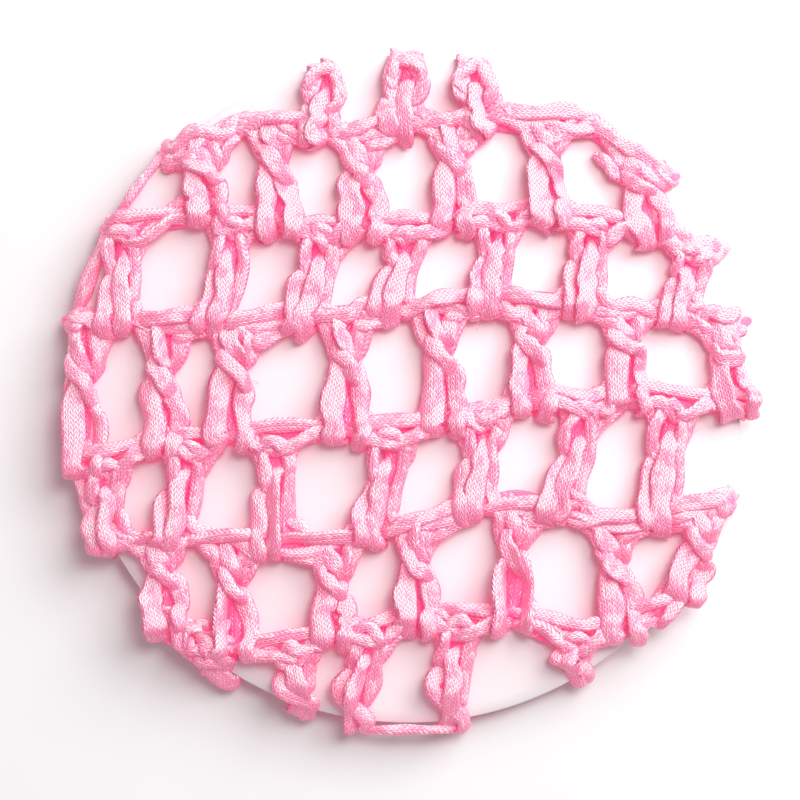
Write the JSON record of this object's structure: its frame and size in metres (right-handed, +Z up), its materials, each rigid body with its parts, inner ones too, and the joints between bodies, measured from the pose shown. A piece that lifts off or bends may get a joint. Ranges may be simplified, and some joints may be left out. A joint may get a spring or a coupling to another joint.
{
  "type": "crochet hair snood on a round display card",
  "caption": "Coarse crochet bun net worked in flat knitted ribbon tape, its elastic rim hooked round the back of a round, slightly bowed white card.",
  "frame": {"origin": "on the plane that the snood rests on, under the middle of its bounding box", "axes": "+Z up out of the net's face, +Y towards the top row of the net as worked, +X to its right"},
  "size_m": [0.0984, 0.0988, 0.0119],
  "materials": {
    "ribbon_tape": "satin pink rayon tape, knitted flat in small Vs, with white glints and stray fibres",
    "elastic_cord": "round elastic with a braided pink cover",
    "card": "plain white coated board, faintly satin"
  },
  "bodies": {
    "root": {"crochet_net": "ribbon_tape", "rim_elastic": "elastic_cord", "display_card": "card"}
  },
  "joints": []
}
